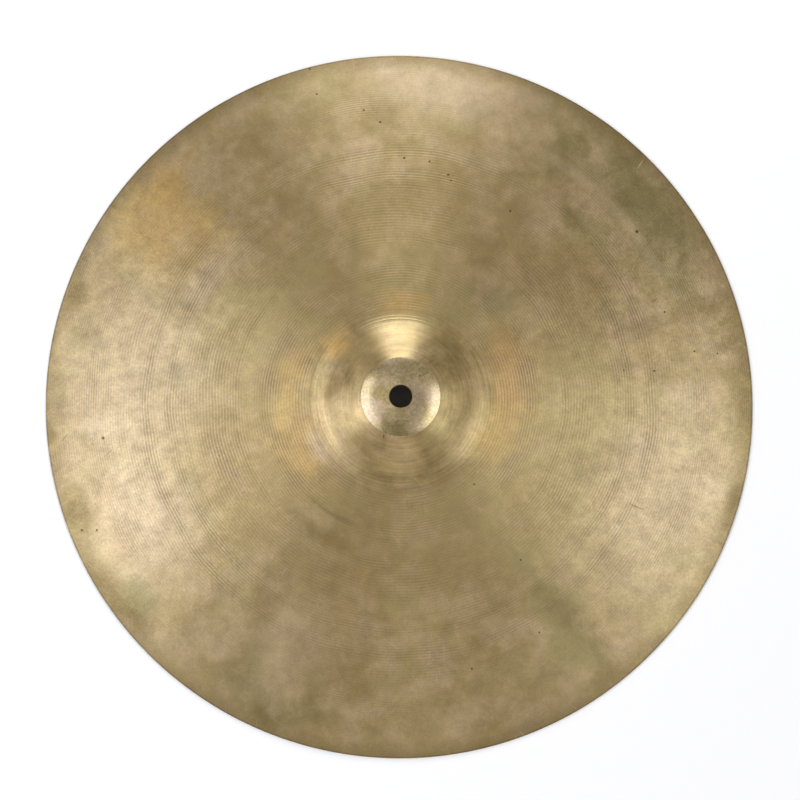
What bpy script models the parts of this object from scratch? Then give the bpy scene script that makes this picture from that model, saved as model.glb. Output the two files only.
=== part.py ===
"""A 16 inch crash cymbal: one turned shell of bell bronze, 0.8 to 1.5 mm thick.

The cymbal lies as it would on a table: its rim rests on Z = 0, the bell points up, and +Z is its axis.
Its top is a chain of arcs from the hole to the rim. Its underside lies one wall thickness below that,
measured square to the surface.
"""

from math import cos, radians, sin, tau

import bpy

# Driving dimensions, in metres and degrees.
DIAMETER = 0.4064
HOLE_DIAMETER = 0.013
HOLE_CHAMFER = 0.0003
RIM_LAND = 0.0004

# The top surface from the hole outwards: what each stretch is, the radius where it ends, its slope below
# horizontal where it starts and where it ends, and the number of straight cuts that stand for its arc.
TOP_STRETCHES = (
    ("felt seat", 0.0100, 0, 0, 1),
    ("crown", 0.0226, 0, 20, 4),
    ("bell flank", 0.0400, 26, 36, 4),
    ("bell foot", 0.0520, 36, 3.5, 5),
    ("bow", DIAMETER / 2, 3.5, 12, 9),
)

# The wall's thickness at these radii, changing evenly from one to the next.
WALL = (
    (0.0000, 0.0015),
    (0.0226, 0.0015),
    (0.0400, 0.0013),
    (0.0520, 0.0012),
    (0.1500, 0.0010),
    (DIAMETER / 2, 0.0008),
)

TURN_STEPS = 96
MERGE_DISTANCE = 0.00001
SHARP_ANGLE = 30

BRONZE = (0.42, 0.34, 0.20, 1)
BRONZE_ROUGHNESS = 0.38


def wall_at(radius):
    """The wall's thickness at a radius."""
    for (r0, wall0), (r1, wall1) in zip(WALL, WALL[1:]):
        if radius <= r1:
            return wall0 + (wall1 - wall0) * (radius - r0) / (r1 - r0)
    return WALL[-1][1]


def falling_arc(start, end_radius, slope_start, slope_end, cuts):
    """Points (radius, height, slope) of an arc that falls outwards from start, its slopes in radians."""
    r0, z0 = start
    first, last = radians(slope_start), radians(slope_end)
    if first == last:
        return [(r0, z0, first), (end_radius, z0, first)]
    bend = (end_radius - r0) / (sin(last) - sin(first))
    points = []
    for i in range(cuts + 1):
        slope = first + (last - first) * i / cuts
        radius = r0 + bend * (sin(slope) - sin(first))
        height = z0 - bend * (cos(first) - cos(slope))
        points.append((radius, height, slope))
    return points


def top_surface():
    """The top surface's points from the hole to the rim, with heights counted down from the crown."""
    points = []
    here = (HOLE_DIAMETER / 2, 0)
    for _name, end_radius, slope_start, slope_end, cuts in TOP_STRETCHES:
        stretch = falling_arc(here, end_radius, slope_start, slope_end, cuts)
        here = stretch[-1][:2]
        if points:
            # Where two stretches meet at a corner, one point with the mean slope stands for both.
            radius, height, slope = points.pop()
            stretch[0] = (radius, height, (slope + stretch[0][2]) / 2)
        points += stretch
    return points


def underside(top):
    """The point one wall thickness below each top point, square to the surface."""
    points = []
    for radius, height, slope in top:
        wall = wall_at(radius)
        points.append((radius - wall * sin(slope), height - wall * cos(slope)))
    return points


def section():
    """The closed section at +X: over the top to the rim, back along the underside, and up the hole."""
    top = top_surface()
    over = [(radius, height) for radius, height, _slope in top[1:]]
    under = underside(top)
    hole_radius = HOLE_DIAMETER / 2
    rim_radius = over[-1][0]
    crown_z = top[0][1]
    ceiling_z = under[0][1]
    foot_z = under[-1][1]
    points = [(hole_radius, crown_z - HOLE_CHAMFER), (hole_radius + HOLE_CHAMFER, crown_z)]
    points += over
    points += [(rim_radius, foot_z), (rim_radius - RIM_LAND, foot_z)]
    points += reversed(under[1:-1])
    points += [(hole_radius + HOLE_CHAMFER, ceiling_z), (hole_radius, ceiling_z + HOLE_CHAMFER)]
    return [(radius, height - foot_z) for radius, height in points]


def turned(name, outline, collection):
    """A closed outline in the XZ plane, turned about Z into one solid of its own."""
    count = len(outline)
    profile = bpy.data.meshes.new(name + "_section")
    profile.from_pydata(
        [(radius, 0, height) for radius, height in outline],
        [(i, (i + 1) % count) for i in range(count)],
        [],
    )
    solid = bpy.data.objects.new(name, profile)
    collection.objects.link(solid)
    screw = solid.modifiers.new("Turn", "SCREW")
    screw.axis = "Z"
    screw.angle = tau
    screw.steps = TURN_STEPS
    screw.render_steps = TURN_STEPS
    screw.use_merge_vertices = True
    screw.merge_threshold = MERGE_DISTANCE
    graph = bpy.context.evaluated_depsgraph_get()
    mesh = bpy.data.meshes.new_from_object(solid.evaluated_get(graph))
    mesh.shade_smooth()
    mesh.set_sharp_from_angle(angle=radians(SHARP_ANGLE))
    solid.modifiers.clear()
    solid.data = mesh
    bpy.data.meshes.remove(profile)
    return solid


def bronze():
    """Old bell bronze, plain and a little rough."""
    material = bpy.data.materials.new("bell_bronze")
    material.use_nodes = True
    shader = material.node_tree.nodes["Principled BSDF"]
    shader.inputs["Base Color"].default_value = BRONZE
    shader.inputs["Metallic"].default_value = 1
    shader.inputs["Roughness"].default_value = BRONZE_ROUGHNESS
    return material


def main():
    for old in list(bpy.data.objects):
        bpy.data.objects.remove(old)
    collection = bpy.data.collections.new("crash_cymbal")
    bpy.context.scene.collection.children.link(collection)
    cymbal = turned("cymbal", section(), collection)
    cymbal.data.materials.append(bronze())


main()
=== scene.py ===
"""An old bronze crash cymbal lying bell up on a white ground, seen almost straight from above.

One piece stands for the whole cymbal. Its mesh holds the true relief: the bell and its ridges, the lathe
grooves, the hammer marks and the rounded rim. Its materials hold what is too fine or too flat for a mesh:
the tarnish, the stains, the pits, the scratches and the grain. They also hold some painted light: groove
shade, grain and streaks that are stronger on the left and the right, a cap whose colour is lit and shaded
by side, and a painted highlight on the far part of the bow.
"""

from dataclasses import dataclass
from math import cos, hypot, pi, radians, sin, tan, tau

import bpy
import numpy as np
from mathutils import Matrix, Vector


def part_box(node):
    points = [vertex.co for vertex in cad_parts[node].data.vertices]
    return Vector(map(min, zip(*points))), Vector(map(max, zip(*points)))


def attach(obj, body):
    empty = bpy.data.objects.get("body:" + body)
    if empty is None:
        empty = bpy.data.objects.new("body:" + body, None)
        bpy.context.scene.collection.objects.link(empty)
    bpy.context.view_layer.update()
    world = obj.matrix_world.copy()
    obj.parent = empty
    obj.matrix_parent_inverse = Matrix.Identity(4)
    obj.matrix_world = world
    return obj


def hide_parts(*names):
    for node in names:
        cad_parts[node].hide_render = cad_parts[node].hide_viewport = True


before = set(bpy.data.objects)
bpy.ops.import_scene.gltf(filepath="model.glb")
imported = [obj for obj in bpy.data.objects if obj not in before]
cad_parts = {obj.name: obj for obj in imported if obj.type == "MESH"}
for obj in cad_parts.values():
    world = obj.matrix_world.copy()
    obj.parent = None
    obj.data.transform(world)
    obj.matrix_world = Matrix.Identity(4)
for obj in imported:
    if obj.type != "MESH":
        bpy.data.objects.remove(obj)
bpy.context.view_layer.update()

MM = 0.001

# ---------------------------------------------------------------- the cymbal's shape, from the CAD model

CAD_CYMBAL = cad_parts["cymbal"]
RIM_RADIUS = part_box("cymbal")[1].x
CROWN_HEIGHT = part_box("cymbal")[1].z
HOLE_RADIUS = min(hypot(v.co.x, v.co.y) for v in CAD_CYMBAL.data.vertices)
HOLE_CHAMFER = 0.3 * MM
CAP_RADIUS = 22.6 * MM
BELL_RADIUS = 52 * MM

# The top from the hole outwards: the radius where each stretch ends, and its slope in degrees below
# horizontal where it starts and where it ends. It is the same chain of arcs as the CAD model's.
TOP_STRETCHES = (
    (10 * MM, 0, 0),
    (CAP_RADIUS, 0, 20),
    (40 * MM, 26, 36),
    (BELL_RADIUS, 36, 3.5),
    (RIM_RADIUS, 3.5, 12),
)

WALL_RADII = (0, CAP_RADIUS, 40 * MM, BELL_RADIUS, 150 * MM, RIM_RADIUS)
WALL = (1.5 * MM, 1.5 * MM, 1.3 * MM, 1.2 * MM, 1.0 * MM, 0.8 * MM)

# ---------------------------------------------------------------- the mesh's rings

# How many points a ring has, by where it lies. A ring may have twice its neighbour's points.
HOLE_POINTS = 60
BELL_POINTS = 120
BOW_POINTS = 240

# Rings on the bell's top: the radius where each zone ends, the gap between its rings, and their points.
BELL_ZONES = (
    (20.0 * MM, 0.7 * MM, HOLE_POINTS),
    (22.2 * MM, 0.5 * MM, BELL_POINTS),
    (23.0 * MM, 0.1 * MM, BELL_POINTS),
    (31.2 * MM, 0.5 * MM, BELL_POINTS),
    (32.4 * MM, 0.2 * MM, BELL_POINTS),
    (45.6 * MM, 0.5 * MM, BELL_POINTS),
    (49.0 * MM, 0.17 * MM, BELL_POINTS),
    (51.0 * MM, 0.5 * MM, BELL_POINTS),
)

# The same for the underside.
UNDERSIDE_ZONES = (
    (20 * MM, 1 * MM, HOLE_POINTS),
    (RIM_RADIUS - 2 * MM, 2 * MM, BELL_POINTS),
)
BOW_MARGIN = 0.5 * MM  # the bow's last ring is at least this far inside the rim
RIM_CUTS = 8
SHARP_ANGLE = 35

# ---------------------------------------------------------------- the relief

# The material slots of the mesh.
CAP, BOW, UNDERSIDE = range(3)

# The low step at the cap's edge, and how far from the bell's foot it starts to die out.
CAP_STEP = 0.12 * MM
CAP_STEP_WIDTH = 0.15 * MM
CAP_STEP_END = 10 * MM

# Turned ridges on the bell: radius, height and half width.
BELL_RIDGES = (
    (31.8 * MM, 0.03 * MM, 0.35 * MM),
    (46.4 * MM, 0.09 * MM, 0.30 * MM),
    (48.2 * MM, 0.08 * MM, 0.30 * MM),
)

# Lathe grooves on the bow: radius, and the pitch there.
GROOVE_PITCH = (
    (51 * MM, 1.5 * MM),
    (60 * MM, 1.7 * MM),
    (73 * MM, 1.55 * MM),
    (86 * MM, 1.5 * MM),
    (99 * MM, 1.7 * MM),
    (113 * MM, 1.75 * MM),
    (127 * MM, 1.55 * MM),
    (157 * MM, 1.65 * MM),
    (173 * MM, 1.35 * MM),
    (RIM_RADIUS, 1.3 * MM),
)
GROOVE_DEPTH = 0.08 * MM
GROOVE_SHAPE = (0.0, -1.0, -0.35)  # the rings of each groove: its land, its bottom and its far side

# Between the bands the grooves have a share of the usual depth. In the bands they are cut deeper: middle
# radius, half width, and how many times the usual depth is added.
PLAIN_SHARE = 0.35
DEEP_BANDS = (
    (59 * MM, 6 * MM, 0.9),
    (74 * MM, 6 * MM, 1.3),
    (94 * MM, 2 * MM, 0.9),
    (107 * MM, 11 * MM, 0.8),
    (124 * MM, 2 * MM, 0.7),
    (131.5 * MM, 3 * MM, 1.5),
    (144.7 * MM, 3.5 * MM, 1.6),
    (156 * MM, 4 * MM, 0.3),
    (173 * MM, 7 * MM, 0.6),
)

# Slow waves round the cymbal that make a groove deeper here and shallower there: waves per turn and radians
# per metre of radius. Then the share of its depth that a groove has on average, how far each wave changes
# that, the least and the most it comes to, and the turn from one wave to the next in radians.
FADE_WAVES = ((5, 90), (9, -130), (14, 170), (23, -210))
FADE_MEAN = 0.8
FADE_REACH = 0.16
FADE_LIMITS = (0.1, 1.5)
FADE_PHASE = 1.3
SHALLOW_FADE = 0.6  # grooves deeper than this share of the usual depth fade less

# Rows of hammer marks: radius, how many marks, and how deep.
HAMMER_ROWS = (
    (62 * MM, 16, 0.05 * MM),
    (78 * MM, 20, 0.07 * MM),
    (95 * MM, 24, 0.09 * MM),
    (112 * MM, 28, 0.16 * MM),
    (129 * MM, 32, 0.21 * MM),
    (146 * MM, 36, 0.22 * MM),
    (163 * MM, 40, 0.20 * MM),
    (180 * MM, 42, 0.16 * MM),
    (193 * MM, 40, 0.10 * MM),
)

# How the marks vary: how far they stray from their row, and along it as a share of the gap between two;
# their half length along the radius and half width across it, in mm; and their share of the row's depth.
MARK_STRAY = 4 * MM
MARK_STRAY_ALONG = 0.22
MARK_LENGTH = (7, 12)
MARK_WIDTH = (4, 6.5)
MARK_SHARE = (0.4, 1.3)
DEEP_MARK = 0.2 * MM  # the depth at which the mesh calls a mark 1
RELIEF_SEED = 11

# Slow waves that the hammering leaves in the grooves' paths: waves per turn, radians per metre of radius,
# and how far a groove strays. They start at the calm radius, and die out again near the rim.
WANDER_WAVES = (
    (7, 60, 0.24 * MM),
    (11, -85, 0.22 * MM),
    (16, 110, 0.20 * MM),
    (21, -70, 0.15 * MM),
    (29, 140, 0.10 * MM),
)
WANDER_PHASE = 2.1
CALM_RADIUS = 60 * MM
CALM_EDGE = 40 * MM
CALM_RIM = 15 * MM

# Waves in the rim's height: waves per turn and height. They start at the flat radius.
RIM_WAVES = ((3, 0.10 * MM), (5, 0.07 * MM), (9, 0.04 * MM))
RIM_PHASE = 1.7
FLAT_RADIUS = 120 * MM

ALONG_GROOVES = 0.25  # the anisotropic rotation that spreads a highlight across the grooves

# ---------------------------------------------------------------- colours, light and view

# The camera: how far it stands from straight above, to the front and to the left, in degrees; how far off it
# is and what it looks at, in metres; and its lens and sensor, in mm.
VIEW_TILT = 6.32
VIEW_TILT_SIDEWAYS = 0.91
VIEW_DISTANCE = 2.2
VIEW_TARGET = Vector((0.0002, 0.0021, 0))
LENS = 172.1
SENSOR = 36

# Softboxes: name, azimuth and angle from vertical in degrees, distance, width, height, watts and colour.
SOFTBOXES = (
    ("left_softbox", 180, 32, 1.7, 1.45, 0.72, 9.2, (0.87, 0.90, 1.0)),
    ("left_low_softbox", 193, 58, 1.8, 1.0, 0.5, 5.8, (0.86, 0.90, 1.0)),
    ("right_softbox", -10, 36, 1.7, 1.15, 0.72, 6.4, (0.91, 0.95, 1.0)),
    ("far_softbox", 90, 66, 1.9, 0.9, 0.72, 13.0, (0.95, 0.97, 1.0)),
    ("near_softbox", 270, 66, 1.9, 1.26, 0.5, 3.4, (1.0, 0.99, 0.97)),
)
ROOM_COLOUR = (1.0, 0.92, 0.77, 1)
ROOM_STRENGTH = 0.5
FLOOR_SIZE = 12
FLOOR_COLOUR = (0.92, 0.94, 0.99, 1)
FLOOR_ROUGHNESS = 0.9


def linear(red, green, blue):
    """A linear colour from one given in screen values from 0 to 255."""
    values = (red / 255, green / 255, blue / 255)
    return tuple(v / 12.92 if v <= 0.04045 else ((v + 0.055) / 1.055) ** 2.4 for v in values) + (1,)


def profile(radius):
    """The top surface's height and its slope below horizontal, in radians, at each of an array of radii."""
    radius = np.asarray(radius, float)
    height = np.full(radius.shape, CROWN_HEIGHT)
    slope = np.zeros(radius.shape)
    start = HOLE_RADIUS
    start_height = CROWN_HEIGHT
    for end, slope_start, slope_end in TOP_STRETCHES:
        inside = radius >= start
        first, last = radians(slope_start), radians(slope_end)
        run = np.clip(radius, start, end) - start
        if first == last:
            height[inside] = start_height
            slope[inside] = first
        else:
            bend = (end - start) / (sin(last) - sin(first))
            here = np.arcsin(sin(first) + run / bend)
            height[inside] = (start_height - bend * (cos(first) - np.cos(here)))[inside]
            slope[inside] = here[inside]
            start_height -= bend * (cos(first) - cos(last))
        start = end
    return height, slope


def hammer_marks():
    """Rows (radius, angle, half length, half width, depth) of the hammer marks, in shuffled rings."""
    chance = np.random.default_rng(RELIEF_SEED)
    marks = []
    for radius, count, depth in HAMMER_ROWS:
        turn = chance.uniform(0, tau)
        for i in range(count):
            marks.append((
                radius + chance.normal(0, MARK_STRAY),
                turn + tau * (i + chance.normal(0, MARK_STRAY_ALONG)) / count,
                chance.uniform(*MARK_LENGTH) * MM,
                chance.uniform(*MARK_WIDTH) * MM,
                depth * chance.uniform(*MARK_SHARE),
            ))
    return np.array(marks)


HAMMER_MARKS = hammer_marks()


def hammered(radius, angles):
    """How far the hammer marks push the surface down, at each angle of a ring."""
    down = np.zeros(len(angles))
    near = np.abs(HAMMER_MARKS[:, 0] - radius) < 3 * HAMMER_MARKS[:, 2]
    for mark_radius, mark_angle, length, width, depth in HAMMER_MARKS[near]:
        aside = radius * ((angles - mark_angle + pi) % tau - pi)
        away = ((radius - mark_radius) / length) ** 2 + (aside / width) ** 2
        down += depth * np.exp(-away / 2)
    return down


def wander(radius, angles):
    """How far a groove of this radius strays outwards, at each angle."""
    hold = np.clip((radius - CALM_RADIUS) / CALM_EDGE, 0, 1)
    hold *= np.clip((RIM_RADIUS - radius) / CALM_RIM, 0, 1)
    stray = np.zeros(len(angles))
    for i, (waves, twist, reach) in enumerate(WANDER_WAVES):
        stray += reach * np.cos(waves * angles + twist * radius + WANDER_PHASE * i)
    return hold * stray


def fade(radius, angles):
    """What share of its usual depth a groove has, at each angle."""
    share = np.full(len(angles), FADE_MEAN)
    for i, (waves, twist) in enumerate(FADE_WAVES):
        share += FADE_REACH * np.cos(waves * angles + twist * radius + FADE_PHASE * i)
    return np.clip(share, *FADE_LIMITS)


def rim_lift(radius, angles):
    """How far the rim stands off the ground where it isn't quite flat."""
    share = np.clip((radius - FLAT_RADIUS) / (RIM_RADIUS - FLAT_RADIUS), 0, 1) ** 2
    lift = np.zeros(len(angles))
    for i, (waves, reach) in enumerate(RIM_WAVES):
        lift += reach * (1 + np.cos(waves * angles + RIM_PHASE * i))
    return share * lift


def groove_depth(radius):
    """How deep the grooves are cut at a radius."""
    share = PLAIN_SHARE
    for middle, half_width, times in DEEP_BANDS:
        share += times * np.exp(-((radius - middle) / half_width) ** 2)
    return GROOVE_DEPTH * share


def bell_relief(radius):
    """The turned ridges, and the low step where the lathe stopped at the cap's edge."""
    rise = -CAP_STEP * np.clip((radius - CAP_RADIUS) / CAP_STEP_WIDTH, 0, 1)
    rise *= np.clip((BELL_RADIUS - radius) / CAP_STEP_END, 0, 1)
    for middle, height, half_width in BELL_RIDGES:
        rise += height * np.exp(-((radius - middle) / half_width) ** 2)
    return rise


@dataclass
class Ring:
    """A ring of the mesh. For each point it has how dark its groove is and how deep its hammer mark."""

    points: np.ndarray
    groove: np.ndarray
    mark: np.ndarray
    finish: int


def plain_ring(points, finish):
    return Ring(points, np.zeros(len(points)), np.zeros(len(points)), finish)


def point_angles(count):
    return np.arange(count) * tau / count


def ring_points(radius, height, angles):
    """Points around one ring; radius and height are numbers, or arrays with one value for each angle."""
    flat = np.ones(len(angles))
    return np.column_stack((radius * np.cos(angles), radius * np.sin(angles), height * flat))


def top_ring(radius, count, cut=0.0):
    """A ring of the top. Its cut is 0 on the land between two grooves and -1 at the bottom of a groove."""
    angles = point_angles(count)
    place = radius + wander(radius, angles)
    height, _slope = profile(place)
    marks = hammered(radius, angles)
    depth = groove_depth(radius)
    cut = cut * fade(radius, angles) ** min(1, SHALLOW_FADE * GROOVE_DEPTH / depth)
    height = height + bell_relief(radius) + cut * depth - marks + rim_lift(radius, angles)
    height = np.minimum(height, CROWN_HEIGHT)
    darkness = -cut * np.sqrt(depth / GROOVE_DEPTH)
    finish = CAP if radius <= CAP_RADIUS else BOW
    return Ring(ring_points(place, height, angles), darkness, marks, finish)


def under_ring(radius, count):
    """A ring of the underside, one wall thickness below the top."""
    angles = point_angles(count)
    height, slope = profile(radius)
    wall = np.interp(radius, WALL_RADII, WALL)
    marks = hammered(radius, angles)
    place = radius - wall * sin(slope)
    height = height - wall * cos(slope) - marks + rim_lift(radius, angles)
    return Ring(ring_points(place, np.maximum(height, 0), angles), np.zeros(count), marks, UNDERSIDE)


def spaced(start, end, gap):
    """Radii from just past start to end, evenly spaced by about gap."""
    count = max(1, round((end - start) / gap))
    return [start + (end - start) * (i + 1) / count for i in range(count)]


def top_rings():
    """The rings of the top from the hole's chamfer to the rim."""
    here = HOLE_RADIUS + HOLE_CHAMFER
    rings = [top_ring(here, HOLE_POINTS)]
    for end, gap, count in BELL_ZONES:
        rings += [top_ring(radius, count) for radius in spaced(here, end, gap)]
        here = end
    step = 0
    last = RIM_RADIUS - BOW_MARGIN
    radii, pitches = zip(*GROOVE_PITCH)
    while here < last:
        here += np.interp(here, radii, pitches) / len(GROOVE_SHAPE)
        step += 1
        if here < last:
            rings.append(top_ring(here, BOW_POINTS, GROOVE_SHAPE[step % len(GROOVE_SHAPE)]))
    return rings


def rim_rings():
    """The rounded rim, from the top round to the underside."""
    angles = point_angles(BOW_POINTS)
    half_wall = WALL[-1] / 2
    _height, slope = profile(RIM_RADIUS)
    middle_radius = RIM_RADIUS - half_wall
    outer_radius = middle_radius + half_wall * sin(slope)
    top_height, _slope = profile(outer_radius)
    middle_height = top_height - half_wall * cos(slope)
    rings = []
    for i in range(RIM_CUTS + 1):
        turn = pi * i / RIM_CUTS
        out = half_wall * (sin(slope) * cos(turn) + cos(slope) * sin(turn))
        up = half_wall * (cos(slope) * cos(turn) - sin(slope) * sin(turn))
        height = middle_height + up + rim_lift(RIM_RADIUS, angles) - hammered(RIM_RADIUS, angles)
        rings.append(plain_ring(ring_points(middle_radius + out, np.maximum(height, 0), angles), BOW))
    return rings


def under_rings():
    """The rings of the underside from the rim to the hole's chamfer."""
    here = HOLE_RADIUS + HOLE_CHAMFER
    rings = [under_ring(here, HOLE_POINTS)]
    for end, gap, count in UNDERSIDE_ZONES:
        rings += [under_ring(radius, count) for radius in spaced(here, end, gap)]
        here = end
    return rings[::-1]


def hole_rings():
    """The hole's wall, from the underside's chamfer up to the top's."""
    angles = point_angles(HOLE_POINTS)
    ceiling = CROWN_HEIGHT - WALL[0]
    heights = (ceiling + HOLE_CHAMFER, CROWN_HEIGHT - HOLE_CHAMFER)
    return [plain_ring(ring_points(HOLE_RADIUS, height, angles), CAP) for height in heights]


def bridge(first, first_count, second, second_count):
    """Faces between two rings whose points start at first and second, as in a mesh's list of points."""
    faces = []
    if first_count == second_count:
        for i in range(first_count):
            j = (i + 1) % first_count
            faces.append((first + i, second + i, second + j, first + j))
    elif second_count == 2 * first_count:
        for i in range(first_count):
            j = (i + 1) % first_count
            a, b, c = 2 * i, 2 * i + 1, (2 * i + 2) % second_count
            faces.append((first + i, second + a, second + b))
            faces.append((first + i, second + b, first + j))
            faces.append((first + j, second + b, second + c))
    else:
        for i in range(second_count):
            j = (i + 1) % second_count
            a, b, c = 2 * i, 2 * i + 1, (2 * i + 2) % first_count
            faces.append((second + i, first + b, first + a))
            faces.append((second + i, second + j, first + b))
            faces.append((second + j, first + c, first + b))
    return faces


def cymbal_mesh(name):
    """The whole closed surface as one object, with what its materials need to know at each point."""
    rings = hole_rings() + top_rings() + rim_rings() + under_rings()
    starts = np.cumsum([0] + [len(ring.points) for ring in rings])
    faces = []
    finishes = []
    for i, ring in enumerate(rings):
        j = (i + 1) % len(rings)
        strip = bridge(starts[i], len(ring.points), starts[j], len(rings[j].points))
        faces += strip
        finishes += [rings[j].finish] * len(strip)
    mesh = bpy.data.meshes.new(name)
    mesh.from_pydata(np.concatenate([ring.points for ring in rings]), [], faces)
    mesh.polygons.foreach_set("material_index", finishes)
    mesh.shade_smooth()
    mesh.set_sharp_from_angle(angle=radians(SHARP_ANGLE))
    groove = np.concatenate([ring.groove for ring in rings])
    hammer = np.concatenate([ring.mark for ring in rings]) / DEEP_MARK
    for attribute, values in (("groove", groove), ("hammer", hammer)):
        layer = mesh.attributes.new(attribute, "FLOAT", "POINT")
        layer.data.foreach_set("value", values.astype(np.float32))
    cymbal = bpy.data.objects.new(name, mesh)
    bpy.context.scene.collection.objects.link(cymbal)
    return cymbal


class Graph:
    """Short calls that add nodes to a material. A value given to one is a number, a colour or a socket."""

    def __init__(self, material):
        material.use_nodes = True
        self.tree = material.node_tree
        self.shader = self.tree.nodes["Principled BSDF"]

    def give(self, socket, value):
        if isinstance(value, bpy.types.NodeSocket):
            self.tree.links.new(value, socket)
        else:
            socket.default_value = value

    def node(self, kind, *values, **settings):
        """A node with its first inputs given in order, or by name with a dict as the last value."""
        node = self.tree.nodes.new("ShaderNode" + kind)
        for setting, value in settings.items():
            setattr(node, setting, value)
        for i, value in enumerate(values):
            if isinstance(value, dict):
                for socket, given in value.items():
                    self.give(node.inputs[socket], given)
            else:
                self.give(node.inputs[i], value)
        return node

    def math(self, operation, *values):
        return self.node("Math", *values, operation=operation).outputs[0]

    def vector(self, operation, *values):
        return self.node("VectorMath", *values, operation=operation).outputs[0]

    def length(self, vector):
        return self.node("VectorMath", vector, operation="LENGTH").outputs["Value"]

    def distance(self, a, b):
        return self.node("VectorMath", a, b, operation="DISTANCE").outputs["Value"]

    def scaled(self, vector, scale):
        return self.node("VectorMath", vector, {"Scale": scale}, operation="SCALE").outputs[0]

    def noise(self, where, scale, detail=3, roughness=0.5, distortion=0):
        """Cloudy noise around 0.5."""
        inputs = {
            "Vector": where,
            "Scale": scale,
            "Detail": detail,
            "Roughness": roughness,
            "Distortion": distortion,
        }
        return self.node("TexNoise", inputs).outputs["Fac"]

    def remap(self, value, low, high, to_low=0, to_high=1):
        """A smooth step from to_low to to_high as value goes from low to high."""
        node = self.node("MapRange", interpolation_type="SMOOTHSTEP")
        for i, given in enumerate((value, low, high, to_low, to_high)):
            self.give(node.inputs[i], given)
        return node.outputs[0]

    def mix(self, share, a, b):
        """The colour a with a share of b over it, by the sockets that a Mix node has for colours."""
        node = self.node("Mix", data_type="RGBA")
        self.give(node.inputs[0], share)
        self.give(node.inputs[6], a)
        self.give(node.inputs[7], b)
        return node.outputs[2]


BROWN = linear(168, 147, 107)
OLIVE = linear(175, 160, 117)
ROSY = linear(190, 166, 136)
PALE = linear(204, 184, 156)
GOLD = linear(202, 170, 114)
ORANGE = linear(198, 160, 108)
OCHRE = linear(200, 169, 113)
GREEN = linear(146, 136, 98)
GREY = linear(146, 136, 112)
UMBER = linear(126, 110, 74)
DIRT = linear(70, 60, 40)
BRIGHT = linear(236, 212, 166)

NOISE_SPREAD = (0.35, 0.65)  # what nearly all of a noise's values lie between
# Painted light grows across this spread: the groove shade and the grain's sheen.
SIDE_LIGHT_SPREAD = (0.5, 0.95)  # from the front and back sectors of the bow to its left and right ones
FINE_SCALE = 800  # the scale of the finest specks
RELIEF_STEP = 0.1 * MM  # the height of a bump of 1

# Where the bow grows paler, where its rim is dark and how far patches pull that in, and its darker outer
# edge.
PALE_BOW = (90 * MM, 165 * MM)
DARK_RIM = (198 * MM, 212 * MM)
RIM_RAGGEDNESS = 14 * MM
DARK_EDGE = (RIM_RADIUS - 1.2 * MM, RIM_RADIUS - 0.4 * MM)

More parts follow.
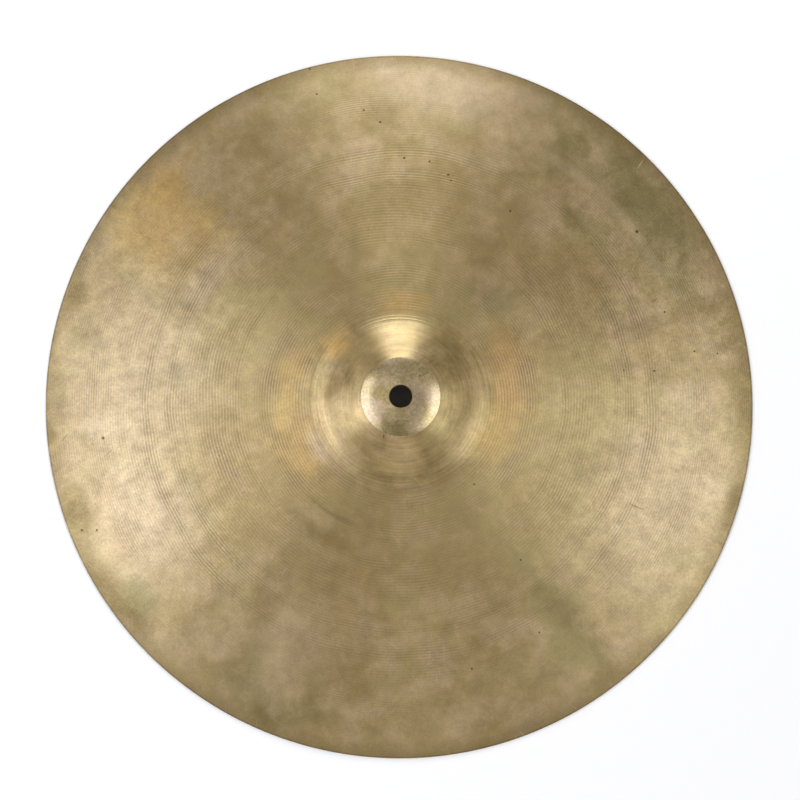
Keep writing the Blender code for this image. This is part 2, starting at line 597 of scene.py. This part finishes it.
# Stains in the tarnish: radius in mm, angle in degrees, how far they reach along the radius
# and sideways in mm, their colour, and how much of it shows.
STAINS = (
    (95, 147, 34, 30, OLIVE, 0.6),
    (100, 104, 28, 12, BROWN, 0.6),
    (110, 84, 40, 34, BROWN, 0.5),
    (165, 112, 18, 30, BROWN, 0.6),
    (80, 48, 12, 14, GREY, 0.35),
    (62, 203, 12, 34, GOLD, 0.5),
    (62, 165, 12, 20, GOLD, 0.45),
    (66, 12, 14, 30, ORANGE, 0.5),
    (60, 340, 14, 24, GOLD, 0.5),
    (56, 88, 8, 17, GOLD, 0.6),
    (47, 139, 10, 10, GOLD, 0.85),
    (171, 143, 32, 30, OCHRE, 0.7),
    (131, 147, 10, 30, PALE, 0.6),
    # Painted highlight: the pale patch at 186 mm and 81 degrees stands where the far softbox's highlight
    # lies on the bow.
    (186, 81, 18, 46, PALE, 0.75),
    (184, 40, 20, 66, GREEN, 0.82),
    (167, 45, 4, 60, PALE, 0.45),
    (150, 47, 12, 16, GREEN, 0.4),
    (150, 176, 50, 56, PALE, 0.5),
    (160, 340, 42, 60, PALE, 0.5),
    (150, 246, 26, 20, PALE, 0.4),
    (140, 210, 38, 9, GREEN, 0.25),
    (150, 307, 42, 13, GREEN, 0.5),
    (108, 340, 12, 9, GREEN, 0.4),
    (89, 237, 6, 20, UMBER, 0.45),
    (76, 238, 1.6, 15, UMBER, 0.38),
    (187, 246, 12, 40, GREEN, 0.5),
    (194, 179, 8, 18, GREEN, 0.6),
    (199, 212, 9, 26, UMBER, 0.6),
    (200, 4, 13, 50, UMBER, 0.6),
    (188, 10, 9, 7, UMBER, 0.5),
    (186, 331, 10, 8, GREEN, 0.4),
    (181, 187, 5, 7, GREEN, 0.5),
    (185, 167, 10, 13, GREEN, 0.45),
    (173, 185, 12, 12, PALE, 0.5),
    (160, 204, 32, 40, PALE, 0.6),
    (140, 349, 9, 12, PALE, 0.5),
    (196, 92, 7, 16, PALE, 0.8),
    (193, 67, 7, 12, PALE, 0.5),
    (163, 94, 14, 18, BROWN, 0.4),
    (187, 136, 14, 20, OCHRE, 0.6),
    (140, 141, 14, 18, OCHRE, 0.3),
    (196, 162, 7, 13, UMBER, 0.6),
    (195, 199, 9, 17, UMBER, 0.7),
    (195, 219, 8, 18, UMBER, 0.75),
    (191, 18, 9, 12, UMBER, 0.5),
    (200, 343, 6, 20, UMBER, 0.6),
    (194, 307, 7, 13, UMBER, 0.45),
    (188, 217, 9, 13, GREEN, 0.6),
    (196, 247, 7, 13, UMBER, 0.55),
    (175, 153, 9, 11, GREEN, 0.4),
    (125, 173, 8, 7, GREY, 0.35),
    (167, 1, 12, 12, PALE, 0.4),
    (178, 344, 16, 16, PALE, 0.35),
    (128, 200, 7, 12, GREEN, 0.35),
    (202, 185, 5, 7, UMBER, 0.8),
    (33, 158, 5, 8, UMBER, 0.4),
    (38, 40, 9, 14, UMBER, 0.35),
    (28, 52, 6, 12, UMBER, 0.45),
    (49, 300, 6, 20, UMBER, 0.25),
    (38, 270, 12, 22, UMBER, 0.35),
    (47, 3, 7, 14, UMBER, 0.35),
    (32, 210, 7, 10, UMBER, 0.25),
    (54, 212, 5, 14, PALE, 0.6),
)

STAIN_RAGGEDNESS = 2.4
STAIN_EDGE = (1.35, 0.2)

# Pits, where the tarnish has eaten in: radius in mm, angle in degrees and size in mm.
PITS = (
    (202, 105, 0.8), (186, 105, 0.8), (171, 97, 0.8), (163, 94, 0.9), (141, 89, 0.9), (140, 83, 0.8),
    (134, 78, 0.9), (131, 77, 0.7), (127, 60, 0.9), (169, 36, 1.3), (161, 19, 0.8), (172, 10, 0.9),
    (185, 9, 0.7), (147, 7, 0.8), (129.5, 8, 0.7), (196, 202, 1.0), (188, 203, 0.8), (171, 187, 1.2),
    (64, 311, 0.7), (114, 307, 0.8), (154, 301, 0.7), (158, 285, 0.8),
)
PIT_EDGE = (1.0, 0.4)
PIT_DIRT = 0.85
NO_PIT = 9.0  # a distance, in pit sizes, that is far from any pit

# Scratches: radius in mm and angle of the middle, direction in degrees, length and width in mm, colour and
# how much of it shows. The last ones are the nut's scuffs on the cap.
SCRATCHES = (
    (197, 45, 57, 9.5, 0.6, BRIGHT, 0.8),
    (155, 30, 59, 4, 0.6, BRIGHT, 0.6),
    (148, 336, -22, 13, 0.9, UMBER, 0.6),
    (193, 186, 53, 7, 0.9, DIRT, 0.45),
    (169, 190, 48, 6, 0.8, UMBER, 0.4),
    (176, 152, 20, 9, 0.6, BRIGHT, 0.3),
    (139, 268, -35, 12, 0.6, BRIGHT, 0.25),
    (119, 71, 12, 10, 0.6, BRIGHT, 0.2),
    (158, 22, 30, 5, 1.8, UMBER, 0.5),
    (118, 236, 62, 8, 0.6, BRIGHT, 0.3),
    (126, 232, 55, 6, 0.6, BRIGHT, 0.3),
    (24.4, 247, 88, 3.4, 0.8, DIRT, 0.75),
    (26, 50, 32, 7, 0.6, DIRT, 0.45),
    (28, 42, 27, 6, 0.5, DIRT, 0.4),
    (25, 60, 38, 6, 0.6, DIRT, 0.4),
    (30, 52, 30, 5, 0.5, DIRT, 0.35),
    (33, 157, 62, 7, 0.7, DIRT, 0.4),
    (31, 161, 66, 6, 0.6, DIRT, 0.35),
    (36, 155, 58, 5, 0.6, DIRT, 0.35),
)
CAP_SCRATCHES = (
    (16, 52, 50, 5.3, 0.5, BRIGHT, 0.7),
    (16.5, 47, 44, 4.6, 0.5, DIRT, 0.6),
    (17.5, 41, 39, 6.6, 0.5, BRIGHT, 0.7),
    (18.5, 43, 42, 5, 0.5, DIRT, 0.6),
    (20, 38, 46, 5.6, 0.5, BRIGHT, 0.6),
    (19.5, 55, 30, 4, 0.5, DIRT, 0.5),
    (21, 62, 35, 5, 0.6, DIRT, 0.5),
    (22, 247, 88, 1.8, 0.7, DIRT, 0.7),
    (14.5, 262, 8, 4.5, 0.8, DIRT, 0.45),
    (14, 280, -12, 5.5, 0.7, DIRT, 0.45),
    (16.5, 270, 4, 6, 0.7, DIRT, 0.35),
    (12.5, 290, 20, 4, 0.6, DIRT, 0.4),
)

SCRATCH_EDGE = (1.0, 0.4)

# Hairline scratches all over the top: the directions they run in, in degrees, and their length and width.
HAIRLINES = (38, 97, 141)
HAIRLINE_LENGTH = 14 * MM
HAIRLINE_WIDTH = 0.55 * MM
HAIRLINE_EDGE = (0.66, 0.74)


def places(g):
    """Three nodes' outputs: the point, its radius and its direction from the axis."""
    where = g.node("TexCoord").outputs["Object"]
    flat = g.vector("MULTIPLY", where, (1, 1, 0))
    return where, g.length(flat), g.vector("NORMALIZE", flat)


def polar(g, where, radius):
    """The point as (radius, angle, 0)."""
    parts = g.node("SeparateXYZ", where).outputs
    return g.node("CombineXYZ", radius, g.math("ARCTAN2", parts["Y"], parts["X"]), 0).outputs[0]


def polar_noise(g, radius, around, per_radian, per_metre, detail=2, roughness=0.5):
    """Noise stretched along the radius or around the axis, from how many cells it has each way."""
    up_radius = g.node("CombineXYZ", 0, 0, g.math("MULTIPLY", radius, per_metre)).outputs[0]
    spot = g.vector("ADD", g.scaled(around, per_radian), up_radius)
    return g.noise(spot, 1, detail, roughness)


def gain(g, colour, value):
    """The colour made lighter or darker by a factor."""
    return g.vector("MULTIPLY", colour, g.node("CombineXYZ", value, value, value).outputs[0])


def shaded(g, colour, noise, strength):
    """The colour made lighter or darker by a noise around 0.5, the more so the greater the strength."""
    return gain(g, colour, g.math("MULTIPLY_ADD", g.math("SUBTRACT", noise, 0.5), strength, 1))


def stained(g, colour, place, ragged):
    """Adds the stains to a point at place, from polar(). A noise, ragged, pulls their edges in and out."""
    pull = g.math("MULTIPLY_ADD", ragged, STAIN_RAGGEDNESS, -STAIN_RAGGEDNESS / 2)
    for radius, angle, reach, aside, tint, strength in STAINS:
        turn = radians((angle + 180) % 360 - 180)
        apart = g.vector("SUBTRACT", place, (radius * MM, turn, 0))
        apart = g.vector("WRAP", apart, (1, pi, 1), (-1, -pi, -1))
        apart = g.vector("MULTIPLY", apart, (1 / (reach * MM), radius / aside, 0))
        edge = g.math("ADD", g.length(apart), pull)
        colour = g.mix(g.remap(edge, *STAIN_EDGE, 0, strength), colour, tint)
    return colour


def pitted(g, colour, where):
    """Adds the pits. Also gives a height for them, from -1 in a pit to 0 outside."""
    flat = g.vector("MULTIPLY", where, (1, 1, 0))
    nearest = NO_PIT
    for radius, angle, size in PITS:
        middle = (radius * MM * cos(radians(angle)), radius * MM * sin(radians(angle)), 0)
        nearest = g.math("MINIMUM", g.math("DIVIDE", g.distance(flat, middle), size * MM), nearest)
    pit = g.remap(nearest, *PIT_EDGE)
    return g.mix(g.math("MULTIPLY", pit, PIT_DIRT), colour, DIRT), g.math("MULTIPLY", pit, -1)


def scratched(g, colour, where, scratches):
    """Adds straight marks, each an ellipse much longer than it is wide."""
    for radius, angle, direction, length, width, tint, strength in scratches:
        middle = (radius * MM * cos(radians(angle)), radius * MM * sin(radians(angle)), 0)
        spot = g.node(
            "Mapping",
            {
                "Vector": where,
                "Location": middle,
                "Rotation": (0, 0, radians(direction)),
                "Scale": (length / 2 * MM, width / 2 * MM, 1),
            },
            vector_type="TEXTURE",
        ).outputs[0]
        apart = g.length(g.vector("MULTIPLY", spot, (1, 1, 0)))
        colour = g.mix(g.remap(apart, *SCRATCH_EDGE, 0, strength), colour, tint)
    return colour


def bumped(g, height, strength):
    """Gives the shader a fine relief, from a height around 0.5."""
    bump = g.node("Bump", {"Height": height, "Strength": strength, "Distance": RELIEF_STEP})
    g.give(g.shader.inputs["Normal"], bump.outputs[0])


def bronze(name, aniso):
    """A metal with a lathed surface, and its graph."""
    material = bpy.data.materials.new(name)
    g = Graph(material)
    g.give(g.shader.inputs["Metallic"], 1.0)
    g.give(g.shader.inputs["Anisotropic"], aniso)
    g.give(g.shader.inputs["Anisotropic Rotation"], ALONG_GROOVES)
    g.give(g.shader.inputs["Tangent"], g.node("Tangent", direction_type="RADIAL", axis="Z").outputs[0])
    return material, g


def tarnished(g, where, radius, patches):
    """The top's slow changes of colour: brown and olive clouds, paler outer parts, stains and a dark rim."""
    clouds = g.noise(where, 16, detail=4, distortion=0.6)
    blotches = g.noise(where, 85, roughness=0.6, distortion=0.4)
    colour = g.mix(g.remap(clouds, *NOISE_SPREAD, 0.15, 0.85), BROWN, OLIVE)
    colour = g.mix(g.remap(patches, 0.45, 0.66, 0, 0.4), colour, ROSY)
    outward = g.remap(radius, *PALE_BOW)
    colour = g.mix(g.math("MULTIPLY", outward, g.remap(patches, 0.3, 0.7, 0, 0.35)), colour, PALE)
    colour = stained(g, colour, polar(g, where, radius), patches)
    colour = g.mix(g.math("MULTIPLY", outward, g.remap(patches, 0.5, 0.34, 0, 0.1)), colour, GREEN)
    colour = shaded(g, colour, blotches, 0.3)
    rim = g.math("MULTIPLY_ADD", patches, RIM_RAGGEDNESS, radius)
    colour = g.mix(g.remap(rim, *DARK_RIM, 0, 0.6), colour, UMBER)
    edge = g.remap(radius, *DARK_EDGE, 0, 0.35)
    return g.mix(edge, colour, DIRT)


def soiled_and_groove_shaded(g, colour, patches, sideways):
    """Adds the grime in the grooves and the hammer marks, with painted shade in the grooves on the left and
    right.
    """
    groove = g.node("Attribute", attribute_name="groove").outputs["Fac"]
    dent = g.node("Attribute", attribute_name="hammer").outputs["Fac"]
    patchy = g.remap(patches, *NOISE_SPREAD, 0.25, 0.44)
    # Painted shade: the grooves darken more towards the left and the right, where the side softboxes light
    # the groove relief.
    grime_and_groove_shade = g.math("MULTIPLY", patchy, g.remap(sideways, *SIDE_LIGHT_SPREAD, 0.45, 1))
    colour = g.mix(g.math("MULTIPLY", groove, grime_and_groove_shade), colour, DIRT)
    return g.mix(g.math("MULTIPLY", dent, 0.06), colour, DIRT)


def grained(g, colour, specks, where, radius, around, sideways):
    """Adds the fine grain: specks and streaks on the bow, stronger to its left and right as painted sheen,
    and turned lines and smudges on the bell.
    """
    spots = g.noise(where, 170, roughness=0.6)
    streaks = polar_noise(g, radius, around, per_radian=18, per_metre=45, detail=3, roughness=0.55)
    ridges = polar_noise(g, radius, around, per_radian=1.5, per_metre=1000, roughness=0.6)
    outer = g.remap(radius, 60 * MM, 150 * MM, 0.65, 1)
    # Painted sheen: the specks and spots grow stronger towards the left and the right, where the side
    # softboxes light the bow.
    grain_and_sheen = g.math("MULTIPLY", g.remap(sideways, *SIDE_LIGHT_SPREAD, 0.5, 1), outer)
    colour = gain(g, colour, g.math("MULTIPLY_ADD", g.math("SUBTRACT", specks, 0.47), grain_and_sheen, 1.08))
    colour = shaded(g, colour, spots, g.math("MULTIPLY", grain_and_sheen, 0.55))
    # Painted sheen: the streaks show more towards the left and the right.
    side_lit_streaks = g.math("MULTIPLY", g.remap(radius, 80 * MM, 130 * MM), g.remap(sideways, 0.7, 0.95, 0.12, 0.3))
    colour = shaded(g, colour, streaks, side_lit_streaks)
    bell = g.remap(radius, 62 * MM, 50 * MM)
    colour = shaded(g, colour, ridges, g.math("MULTIPLY", bell, 0.7))
    return shaded(g, colour, spots, g.math("MULTIPLY", bell, 0.25))


def hairlines(g, colour, where, patches):
    """Adds the hairline scratches, in loose groups."""
    for direction in HAIRLINES:
        inputs = {
            "Vector": where,
            "Rotation": (0, 0, radians(direction)),
            "Scale": (HAIRLINE_LENGTH, HAIRLINE_WIDTH, 1),
        }
        spot = g.node("Mapping", inputs, vector_type="TEXTURE").outputs[0]
        line = g.remap(g.noise(spot, 1, detail=1), *HAIRLINE_EDGE)
        colour = g.mix(g.math("MULTIPLY", line, g.remap(patches, 0.45, 0.6, 0.05, 0.25)), colour, BRIGHT)
    return colour


def bow_bronze():
    """Lathed bell bronze under a mottled olive-brown tarnish: the bell's flank and the bow."""
    material, g = bronze("tarnished_bronze", 0.75)
    where, radius, around = places(g)
    sideways = g.math("ABSOLUTE", g.node("SeparateXYZ", around).outputs["X"])
    patches = g.noise(where, 48, detail=5, roughness=0.6, distortion=0.3)
    specks = g.noise(where, FINE_SCALE, roughness=0.7)
    lines = polar_noise(g, radius, around, per_radian=2.5, per_metre=2600, roughness=0.6)

    colour = tarnished(g, where, radius, patches)
    colour = soiled_and_groove_shaded(g, colour, patches, sideways)
    colour = grained(g, colour, specks, where, radius, around, sideways)
    colour = hairlines(g, colour, where, patches)
    colour = scratched(g, colour, where, SCRATCHES)
    colour, pits = pitted(g, colour, where)
    g.give(g.shader.inputs["Base Color"], colour)

    polish = g.remap(radius, 54 * MM, 48 * MM, 0, -0.03)
    rough = g.remap(patches, *NOISE_SPREAD, 0.39, 0.46)
    g.give(g.shader.inputs["Roughness"], g.math("ADD", polish, rough))
    bumped(g, g.math("MULTIPLY_ADD", pits, 2, g.math("MULTIPLY_ADD", specks, 0.5, lines)), 0.25)
    return material


def cap_bronze():
    """The cap round the hole, rubbed brighter than the rest by the felts and scuffed by the nut. Its colour
    holds painted light: darker at the front, back and left, and near the hole darker on the right.
    """
    material, g = bronze("rubbed_bronze", 0.0)
    where, radius, around = places(g)
    across = g.node("SeparateXYZ", around).outputs["X"]
    sideways = g.math("ABSOLUTE", across)
    clouds = g.noise(where, 75, detail=4, roughness=0.55, distortion=0.4)
    specks = g.noise(where, FINE_SCALE, detail=4, roughness=0.6)
    scuffs = polar_noise(g, radius, around, per_radian=5, per_metre=900, detail=3, roughness=0.6)

    colour = g.mix(g.remap(clouds, *NOISE_SPREAD), OLIVE, PALE)
    colour = shaded(g, colour, specks, 1.1)
    colour = shaded(g, colour, scuffs, 0.4)
    # Painted shade: darker towards the left than the right.
    colour = gain(g, colour, g.remap(across, -0.9, 0.9, 0.82, 1))
    # Painted light near the hole: lighter on the left and darker on the right.
    inside = g.remap(radius, 18 * MM, 10 * MM, 0, -0.4)
    colour = gain(g, colour, g.math("MULTIPLY_ADD", across, inside, 1))
    # Painted shade: darker towards the front and back than at the left and right, where the side softboxes
    # light the cap.
    colour = gain(g, colour, g.remap(sideways, 0.1, 0.8, 0.87, 1))
    g.give(g.shader.inputs["Base Color"], scratched(g, colour, where, CAP_SCRATCHES))

    worn = g.remap(radius, 18 * MM, 9 * MM, 0, 0.14)
    rough = g.remap(clouds, *NOISE_SPREAD, 0.26, 0.31)
    g.give(g.shader.inputs["Roughness"], g.math("ADD", worn, rough))
    bumped(g, g.math("MULTIPLY_ADD", specks, 0.35, scuffs), 0.12)
    return material


def under_bronze():
    """The underside: the same lathed bronze, browner and without the handling marks."""
    material, g = bronze("underside_bronze", 0.7)
    where, radius, around = places(g)
    clouds = g.noise(where, 13, detail=5, roughness=0.55, distortion=0.6)
    patches = g.noise(where, 40, detail=5, roughness=0.6, distortion=0.3)
    specks = g.noise(where, 420, detail=4, roughness=0.7)
    lines = polar_noise(g, radius, around, per_radian=1.5, per_metre=850, detail=3, roughness=0.7)

    colour = g.mix(g.remap(clouds, 0.40, 0.62), BROWN, OLIVE)
    colour = g.mix(g.remap(patches, 0.48, 0.68, 0, 0.35), colour, ROSY)
    colour = g.mix(g.remap(lines, 0.5, 0.35, 0, 0.25), colour, DIRT)
    colour = gain(g, colour, g.remap(specks, 0.3, 0.7, 0.92, 1.06))
    g.give(g.shader.inputs["Base Color"], colour)
    g.give(g.shader.inputs["Roughness"], g.remap(patches, *NOISE_SPREAD, 0.38, 0.46))
    bumped(g, g.math("MULTIPLY_ADD", specks, 0.3, lines), 0.4)
    return material


def aimed(thing, place, target, up=Vector((0, 1, 0))):
    """Puts a camera or a lamp at place, looking at target, with up towards the top of its view."""
    back = (place - target).normalized()
    right = up.cross(back).normalized()
    turn = Matrix((right, back.cross(right), back)).transposed()
    thing.matrix_world = Matrix.Translation(place) @ turn.to_4x4()


def camera():
    data = bpy.data.cameras.new("camera")
    data.sensor_width = SENSOR
    data.lens = LENS
    thing = bpy.data.objects.new("camera", data)
    bpy.context.scene.collection.objects.link(thing)
    toward = Vector((-tan(radians(VIEW_TILT_SIDEWAYS)), -tan(radians(VIEW_TILT)), 1)).normalized()
    aimed(thing, VIEW_TARGET + toward * VIEW_DISTANCE, VIEW_TARGET)
    bpy.context.scene.camera = thing


def softbox(name, azimuth, from_vertical, distance, width, height, power, colour):
    """A rectangular lamp that faces the cymbal. Its height runs up its arc, its width along the ground."""
    data = bpy.data.lights.new(name, "AREA")
    data.shape = "RECTANGLE"
    data.size = width
    data.size_y = height
    data.energy = power
    data.color = colour
    thing = bpy.data.objects.new(name, data)
    bpy.context.scene.collection.objects.link(thing)
    across = sin(radians(from_vertical))
    place = distance * Vector((
        across * cos(radians(azimuth)),
        across * sin(radians(azimuth)),
        cos(radians(from_vertical)),
    ))
    aimed(thing, place, Vector((0, 0, 0)), Vector((0, 0, 1)))


def floor():
    bpy.ops.mesh.primitive_plane_add(size=FLOOR_SIZE)
    plane = bpy.context.object
    plane.name = "floor"
    material = bpy.data.materials.new("white_ground")
    g = Graph(material)
    g.give(g.shader.inputs["Base Color"], FLOOR_COLOUR)
    g.give(g.shader.inputs["Roughness"], FLOOR_ROUGHNESS)
    plane.data.materials.append(material)


def studio():
    """A pale room and the softboxes: two on the left, and one each on the right, beyond and in front."""
    scene = bpy.context.scene
    scene.view_settings.view_transform = "Standard"
    world = bpy.data.worlds.new("room")
    world.use_nodes = True
    background = world.node_tree.nodes["Background"]
    background.inputs["Color"].default_value = ROOM_COLOUR
    background.inputs["Strength"].default_value = ROOM_STRENGTH
    scene.world = world
    for box in SOFTBOXES:
        softbox(*box)


camera()
floor()
studio()
cymbal = cymbal_mesh("hammered_cymbal")
for finish in (cap_bronze(), bow_bronze(), under_bronze()):
    cymbal.data.materials.append(finish)
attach(cymbal, "root")
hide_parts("cymbal")
